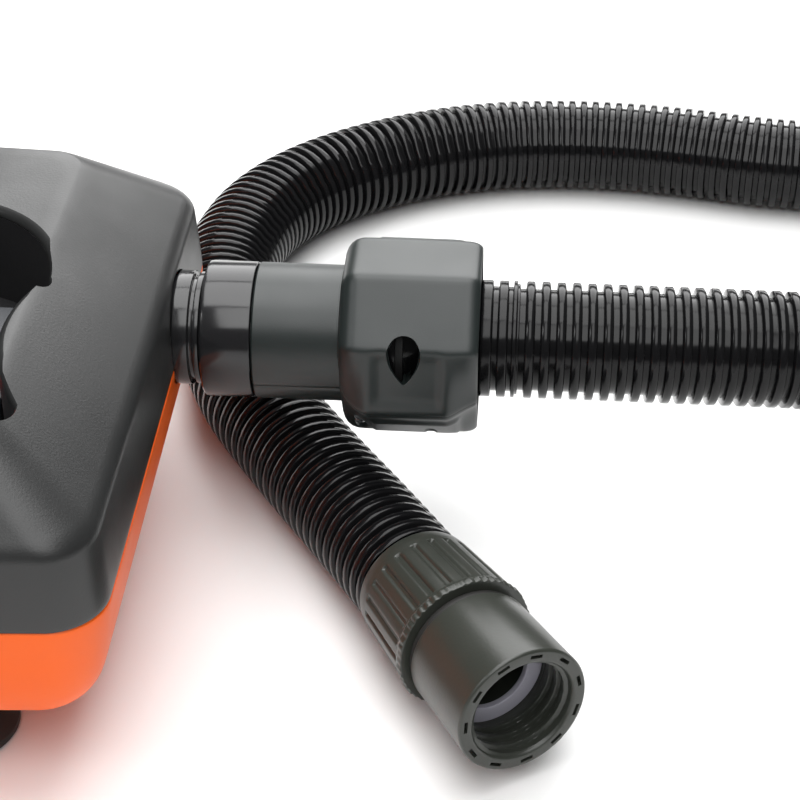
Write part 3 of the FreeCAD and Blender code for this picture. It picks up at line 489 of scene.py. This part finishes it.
def widened(line, by):
    """The outline moved outward by a distance, corners kept: each point goes along the mean of its
    two edges' normals by the distance over the cosine of half the corner's turn."""
    before, after = line - np.roll(line, 1, 0), np.roll(line, -1, 0) - line
    before /= np.linalg.norm(before, axis=1)[:, None]
    after /= np.linalg.norm(after, axis=1)[:, None]
    mean = before + after
    mean /= np.linalg.norm(mean, axis=1)[:, None]
    outward = np.stack([mean[:, 1], -mean[:, 0]], 1)
    return line + outward * by / np.maximum((mean * before).sum(1), 0.6)[:, None]


def at_heights(line, heights):
    """The outline's points lifted to a height, or each to its own."""
    return np.column_stack([line, np.broadcast_to(heights, len(line))])


well_line = arc_outline(WELL)
# The roof is level, and slopes down to its front edge.
ROOF, FRONT_EDGE, FRONT_EDGE_X, SLOPE_RUN = 128.0, 102.0, 133.4, 34.4
slope_height = FRONT_EDGE + (FRONT_EDGE_X - well_line[:, 0]) * (ROOF - FRONT_EDGE) / SLOPE_RUN
roof_height = np.minimum(ROOF, slope_height)
# The opening's edge is rounded on a quarter circle: out and down from the roof by the lip's radius.
LIP = 3.0
lip = [(LIP * (1 - math.cos(turn)), -LIP * (1 - math.sin(turn)))
       for turn in np.radians((0, 18, 36, 54, 68, 80))]
well_cut = skin(np.array(
    [at_heights(well_line, 96.0)]
    + [at_heights(widened(well_line, out), roof_height + rise) for out, rise in lip]
    + [at_heights(widened(well_line, 3.2), roof_height + 4)]))
carved(top, [outlet_bore, intake_bore, well_cut], 25)
shell_grey = finish_of("shell_grey", (0.018, 0.0185, 0.0185), 0.36, grain=4e-5, grain_scale=1300,
                       mottle=0.04)
dress(top, shell_grey, "shell_grey", "housing", "top_shell")

# ---------------------------------------------------------------- feet
# Four rubber feet, each a broad pad, a waist and a plug; a screw from below draws the plug up
# against the lower shell.
FOOT = [(0.0, 2.5), (0.0, 17.0, 0.6), (1.5, 18.5, 1.2), (4.0, 18.4), (7.0, 14.2, 2), (10, 11.0, 2),
        (14, 9.5, 1.5), (26, 9.5), (26, 2.5), (9, 2.5), (9, 4.5), (6, 4.5), (6, 2.5)]
FOOT_SPOTS = [(x, y, 0) for x in (76.6, -186) for y in (-71, 71)]
feet = build("feet_look", [turned(FOOT, spot, (0, 0, 1), 72, 0.2) for spot in FOOT_SPOTS])
dress(feet, rubber, "rubber_black", "housing", "rubber_feet")

# ---------------------------------------------------------------- handle well and console
# A matte black tub under the roof opening, moulded with a thin wall, and in it a raised grey
# console that carries the two switches, the pilot lens and the speed knob.
TUB_FLOOR, TUB_UNDERSIDE, TUB_WALL = 92.0, 89.6, 2.2
tub_top = roof_height - 3.0
tub_outside = widened(well_line, TUB_WALL)
well = build("well_look", [skin(np.array([
    at_heights(widened(well_line, -2.0), TUB_FLOOR), at_heights(well_line, TUB_FLOOR),
    at_heights(well_line, tub_top), at_heights(tub_outside, tub_top),
    at_heights(tub_outside, TUB_UNDERSIDE), at_heights(widened(well_line, -1.0), TUB_UNDERSIDE)]))], 40)
trim = finish_of("trim_black", (0.014, 0.014, 0.015), 0.52, grain=4e-5, grain_scale=900)


def softened(obj, width, segments=3):
    """Rounds the edges that fold more than 30 degrees, width in mm."""
    step = obj.modifiers.new("edges", "BEVEL")
    step.width = width * MM
    step.segments = segments
    step.limit_method = "ANGLE"
    step.angle_limit = math.radians(30)
    step.harden_normals = True
    return obj


def copy_of(node, width=0.0, angle=30.0):
    """A solid part's own shape as one welded mesh, flat faces merged, edges rounded by a width in mm."""
    mesh = frame["nodes"][node].data.copy()
    work = bmesh.new()
    work.from_mesh(mesh)
    bmesh.ops.remove_doubles(work, verts=work.verts, dist=1e-6)
    bmesh.ops.dissolve_limit(work, angle_limit=math.radians(0.5), verts=work.verts, edges=work.edges)
    work.to_mesh(mesh)
    work.free()
    mesh.materials.clear()
    settle(mesh, angle)
    obj = bpy.data.objects.new(node + "_look", mesh)
    bpy.context.scene.collection.objects.link(obj)
    return softened(obj, width) if width else obj


console = softened(copy_of("control_console"), 1.2)
console_grey = finish_of("console_grey", (0.055, 0.058, 0.064), 0.40, grain=3e-5, grain_scale=1200)
dress(well, trim, "trim_black", "housing", "handle_well")
dress(console, console_grey, "console_grey", "housing", "control_console")

# Two rocker switches in black frames, the mains one red; a green pilot lens and a fluted knob.
for label, tint in (("power", (0.50, 0.012, 0.008)), ("heat", (0.02, 0.02, 0.022))):
    switch_frame = copy_of(label + "_frame", 0.5)
    dress(switch_frame, trim, "trim_black", "housing", label + "_frame")
    rocker = copy_of(label + "_rocker", 0.5)
    finish = finish_of(label + "_rocker", tint, 0.25, mottle=0.02)
    dress(rocker, finish, "switch_red" if label == "power" else "switch_black", label + "_switch",
          label + "_rocker")
LENS = [(-7.9, 0), (-7.9, 2.5), (0.0, 2.5), (0.7, 2.0), (0.98, 0)]
lens = build("lens_look", [spun(LENS, (38, -22.5, 104))])
lens_green = finish_of("lens_green", (0.03, 0.30, 0.06), 0.12, coat=0.5)
dress(lens, lens_green, "lens_green", "housing", "indicator_lens")


def flutes(x, r, a):
    """Finger flutes down the knob's side, wherever cos(12 a) is high, the one at angle 0 left out for
    the pointer."""
    return -1.5 * np.clip(np.cos(a * 12) * 2 - 1, 0, 1) * (x > 4.4) * (r > 9) * (np.cos(a) < 0.97)


knob = build("knob_look", [turned(
    [(0.62, 3.1), (0.62, 15.9), (3, 15.9, 0.5), (4.4, 14.5), (9, 13.9), (15, 12.9, 1), (16.4, 11.5, 1),
     (16.4, 3.1)], (-26, -11.5, 104), (0, 0, 1), 144, change=flutes)], 40)
dress(knob, trim, "trim_black", "speed_dial", "speed_knob")

# ---------------------------------------------------------------- carrying handle
# A moulded arch over the well on two side rails, grey like the roof, with a soft black sleeve
# round its bar.
arch = copy_of("carry_handle", 2.0)
dress(arch, shell_grey, "shell_grey", "housing", "carry_handle")
sleeve = copy_of("handle_grip", 0.5)
dress(sleeve, rubber, "rubber_black", "housing", "handle_grip")

# ---------------------------------------------------------------- outlet and lock ring
# A black spigot with a groove and two thin rings, the glossy ring that locks the coupler on it, the
# tube that the coupler turns on, and the cuff that the hose is moulded to.
spigot = build("spigot_look", [turned(
    [(-21.8, 14.6), (28.7, 14.6), (28.7, 16.95), (21.7, 16.95), (21.7, 16.1), (18.3, 16.1), (18.3, 16.95),
     (11.2, 16.95), (11.2, 19.25, 0.6), (9.0, 19.25, 0.6), (9.0, 17.8), (7.6, 17.8), (7.6, 19.65, 0.7),
     (2.2, 19.65, 0.5), (2.2, 18.2), (-1.0, 18.2), (-1.0, 19.6), (-3.0, 19.6),
     (-3.0, 16.95), (-21.8, 16.95)], OUTLET, ease=0.25)])
gloss_black = finish_of("gloss_black", (0.012, 0.012, 0.013), 0.16, grain=1e-5, grain_scale=300, wear=0.04)
ring = build("lock_look", [turned(
    [(11.85, 17.4), (14, 17.4), (14, 19.1), (29.15, 19.1), (29.15, 23.45, 0.6), (20, 23.45),
     (11.85, 23.45, 1.9)], OUTLET, ease=0.3)])
dress(spigot, gloss_black, "trim_black", "housing", "outlet_spigot")
dress(ring, gloss_black, "gloss_black", "lock_ring", "lock_collar")
tube = build("swivel_look", [turned(
    [(29.55, 14.6), (102.9, 14.6), (102.9, 16.85), (34.8, 16.85), (34.8, 20.3), (32.5, 20.3), (32.5, 17.3),
     (29.55, 17.3)], OUTLET, ease=0.2)])
dress(tube, trim, "trim_black", "housing", "swivel_tube")
cuff = build("cuff_look", [turned(
    [(60.1, 17.05), (118.98, 17.05), (118.98, 18.9), (118, 18.9), (118, 19.95), (116.7, 19.95), (116.6, 17.9),
     (115, 17.9), (115, 19.95, 0.6), (111.8, 19.95, 0.6), (111.8, 17.9), (109.8, 17.9), (109.8, 19.95, 0.6),
     (106, 19.95), (106, 18.9), (78, 18.9), (78, 23.9), (70, 23.9), (70, 18.9), (60.1, 18.9)],
    OUTLET, ease=0.3)], 40)
dress(cuff, hose_black, "gloss_black", "housing", "hose_cuff")

# ---------------------------------------------------------------- coupler halves
# Two mouldings with a fine grain: a round barrel, then an eight-sided grip with a scooped finger
# place, a drop-shaped window and a raised pad. They meet along a plane rolled 21 degrees.
ROLL = math.radians(21)
BARREL, BARREL_REAR, BARREL_END, GRIP = 23.3, 22.7, 58.9, 33.5
# Distance from the outlet and radius, from the barrel's rounded rear over the shoulder to the mouth.
GRIP_STATIONS = np.array([
    (29.52, BARREL_REAR), (30.1, BARREL), (31, BARREL), (40, BARREL), (50, BARREL), (58.8, BARREL),
    (59.01, 26.2), (59.3, 28.2), (60.0, 30.2), (61.1, 31.8), (62.6, 32.9), (64.2, 33.4), (65.4, GRIP)]
    + [(x, GRIP) for x in np.arange(66.4, 101.8, 0.8)]
    + [(102.5, 33.4), (103.8, 33.1), (104.8, 32.6), (105.4, 32.1), (105.78, 31.5)])
# The inner ribs: where each starts and ends, and its inner and outer radius.
GRIP_RIBS = ((66.6, 69.6, 19.5, 28.4), (80.8, 83.2, 19.5, 29.3), (99.0, 101.0, 20.5, 27.4))
JOINT_GAP = 0.24
across = np.array((0, math.cos(ROLL), math.sin(ROLL)))
upright = np.array((0, -math.sin(ROLL), math.cos(ROLL)))


def step_up(value, edge, width):
    """A smooth step from 0 to 1 of the given width about an edge: t^2 (3 - 2t)."""
    t = np.clip((value - edge) / width + 0.5, 0, 1)
    return t * t * (3 - 2 * t)


def eight_sided(radius, turn, sharp=85.0):
    """Radius at an angle of an eight-sided form with soft corners: (sum of (cos/apothem)^p)^(-1/p)."""
    faces = np.radians(22.5 + 45 * np.arange(8))
    reach = np.maximum(np.cos(turn[..., None] - faces), 0) / (radius * math.cos(math.pi / 8))[..., None]
    return (reach ** sharp).sum(-1) ** (-1 / sharp)


def thick(outer, inner):
    """A patch with thickness: grids outer[i, j] and inner[i, j] joined round their four borders."""
    count, across = outer.shape[:2]
    loops = np.concatenate([outer, inner[:, ::-1]], axis=1)
    index = np.arange(count * across * 2).reshape(count, across * 2)
    here, ahead = index[:-1], index[1:]
    faces = np.stack([here, np.roll(here, -1, 1), np.roll(ahead, -1, 1), ahead], -1).reshape(-1, 4).tolist()
    for row in (index[0], index[-1]):
        back = row[::-1]
        faces += [[row[j], row[j + 1], back[j + 1], back[j]] for j in range(across - 1)]
    return loops.reshape(-1, 3), [[int(i) for i in face] for face in faces]


def added(obj, forms, angle=30.0):
    """obj with more closed forms in the same mesh."""
    other = build("extra", forms, angle)
    work = bmesh.new()
    work.from_mesh(obj.data)
    work.from_mesh(other.data)
    work.to_mesh(obj.data)
    work.free()
    bpy.data.objects.remove(other)
    settle(obj.data, angle)
    return obj


def mesh_form(obj):
    """An object's mesh as a form in mm."""
    points = np.empty(len(obj.data.vertices) * 3, np.float32)
    obj.data.vertices.foreach_get("co", points)
    return points.reshape(-1, 3).astype(float) / MM, [list(face.vertices) for face in obj.data.polygons]


def round_outlet(x, radius, turn):
    """Points x in front of the outlet, radius (cos, sin) of the turn plus the roll from its axis."""
    turn = turn + ROLL
    return np.stack([np.broadcast_to(OUTLET[0] + x, turn.shape), OUTLET[1] + radius * np.cos(turn),
                     OUTLET[2] + radius * np.sin(turn)], -1)


def coupler_half(name, first, last):
    """One half, between two angles round the coupler, and its inner ribs as forms of their own. The
    radius is the barrel's or the eight-sided grip's, less a scoop at the front, plus a raised pad, and
    less a fall of up to 5 mm at both ends of the grip near the joint of the halves."""
    turn = np.radians(np.linspace(first, last, 91))[None, :]
    x = GRIP_STATIONS[:, 0][:, None]
    size = np.broadcast_to(GRIP_STATIONS[:, 1][:, None], (len(x), turn.shape[1]))
    spread = np.broadcast_to(turn, size.shape)
    outer = np.where(x < BARREL_END, size, np.maximum(eight_sided(size, spread), BARREL))
    degrees = np.degrees(spread)
    scoop = (step_up(x, 71.5, 4.0) * (1 - step_up(x, 93.5, 4.0)) * step_up(degrees, 138, 10)
             * (1 - step_up(degrees, 173, 10)))
    pad = (step_up(x, 70.2, 1.6) * (1 - step_up(x, 99.8, 1.6)) * step_up(degrees % 180, 12, 4)
           * (1 - step_up(degrees % 180, 41, 4)))
    from_joint = np.minimum(np.minimum(degrees, 360 - degrees), abs(degrees - 180))
    fall = (1 - step_up(x, 64.6, 9.4)) + step_up(x, 99.8, 9.6)
    fall = fall * np.cos(math.pi / 2 * np.clip(from_joint / 52, 0, 1)) ** 2 * (x > BARREL_END)
    outer = np.maximum(outer - 0.9 * scoop + 1.0 * pad - 5.0 * fall, np.where(x > 30, BARREL, BARREL_REAR))
    edge = np.minimum(degrees - first, last - degrees)
    outer = outer - 0.35 * (edge < 0.5)
    inner = np.where(x < 61.6, 21.2, eight_sided(np.full(size.shape, 31.0), spread))
    inner = np.minimum(inner, outer - 1.6)
    lift = upright * (JOINT_GAP / 2 if first == 0 else -JOINT_GAP / 2)
    shell = thick(round_outlet(x, outer, spread) + lift, round_outlet(x, inner, spread) + lift)
    forms = []
    for start, end, deep, reach in GRIP_RIBS:
        turn = np.radians(np.linspace(first, last, 46))
        wall = [round_outlet(station, radius, turn)
                for station, radius in ((start, deep), (end, deep), (end, reach), (start, reach))]
        forms.append(skin(np.array(wall).transpose(1, 0, 2) + lift * 1.5))
    return build(name, [shell], 32), forms


upper, upper_ribs = coupler_half("upper_look", 0, 180)
lower, lower_ribs = coupler_half("lower_look", 180, 360)
# Pockets for the four screws that hold the halves together, from below.
POCKET, POCKET_REACH = [(-36, 0.1), (-36, 2.4), (-10, 2.4), (-10, 0.1)], 26.8
screw_pockets = [spun(POCKET, np.array(OUTLET) + (x, 0, 0) + across * side * POCKET_REACH, upright, 24, 0)
                 for x in (66.2, 90.0) for side in (-1, 1)]
carved(lower, screw_pockets, 32)
added(lower, lower_ribs, 32)
# The window's outline, along and up from its middle; it faces 143 degrees round the coupler.
WINDOW = [(-4.9, 3.2, 8.0, -1), (-3.6, 7.6, 4.4, -1), (3.6, 7.6, 8.0, -1), (4.9, 3.2, 15.0, -1),
          (0.8, -7.4, 1.0, -1), (-0.8, -7.4, 15.0, -1)]
window_line = arc_outline(WINDOW, 12)[::-1]
WINDOW_X = 81.3
look = math.radians(143) + ROLL
window_out = np.array((0, math.cos(look), math.sin(look)))
window_up = np.array((0, math.sin(look), -math.cos(look)))


def window_ring(grow, out):
    """The window's outline, widened, at a distance out from the coupler's axis."""
    line = widened(window_line, grow)
    return (np.array(OUTLET) + (WINDOW_X, 0, 0) + line[:, :1] * np.array((1.0, 0, 0))
            + line[:, 1:] * window_up + window_out * out)


window_prism = skin(np.array([window_ring(0, 10.0), window_ring(0, 30.0), window_ring(0.45, 30.9),
                              window_ring(1.0, 34)]))
carved(upper, [window_prism], 32)
ribs = carved(build("ribs", upper_ribs, 32), [window_prism], 32)
added(upper, [mesh_form(ribs)], 32)
bpy.data.objects.remove(ribs)
coupler_grey = finish_of("coupler_grey", (0.0130, 0.0178, 0.0172), 0.38, grain=2.5e-5,
                         grain_scale=2600, mottle=0.04)
dress(upper, coupler_grey, "coupler_grey", "coupler_grip", "coupler_upper_shell")
dress(lower, coupler_grey, "coupler_grey", "coupler_grip", "coupler_lower_shell")

# ---------------------------------------------------------------- intake cover and mains inlet
# A slotted black cover that twists off the round air intake at the back, over the foam filter, and
# a black three-pin inlet beside it, let into the lower shell.
cover = copy_of("intake_cover", 0.5)
dress(cover, trim, "trim_black", "intake_door", "intake_cover")
inlet = copy_of("power_inlet", 0.4)
dress(inlet, trim, "trim_black", "housing", "power_inlet")

# ---------------------------------------------------------------- inner pieces
# Motor, fan, heater, board, screws and seals keep their own solid shapes; each takes the finish of
# the material it is made of.
# For each finish: red, green, blue, roughness and metallic.
INNER = {
    "steel": (0.55, 0.56, 0.58, 0.28, 1.0), "rubber_black": (0.009, 0.009, 0.009, 0.62, 0.0),
    "trim_black": (0.014, 0.014, 0.015, 0.52, 0.0), "lamination": (0.25, 0.25, 0.27, 0.45, 1.0),
    "copper": (0.75, 0.33, 0.16, 0.35, 1.0), "carbon": (0.03, 0.03, 0.03, 0.6, 0.0),
    "fan_metal": (0.72, 0.73, 0.75, 0.32, 1.0), "mica": (0.60, 0.52, 0.36, 0.6, 0.0),
    "duct_white": (0.76, 0.75, 0.70, 0.45, 0.0), "board_green": (0.02, 0.16, 0.06, 0.4, 0.0),
    "foam": (0.03, 0.03, 0.033, 0.85, 0.0), "pin_brass": (0.72, 0.52, 0.20, 0.25, 1.0),
    "shell_orange": (0.86, 0.155, 0.022, 0.3, 0.0)}
inner_finish = {name: finish_of("inner_" + name, values[:3], values[3], metallic=values[4])
                for name, values in INNER.items()}
for entry in frame["record"]["subparts"]:
    node, name = entry["node"], entry["material_slot"]
    if name in inner_finish:
        data = frame["nodes"][node].data
        data.materials.clear()
        data.materials.append(inner_finish[name])
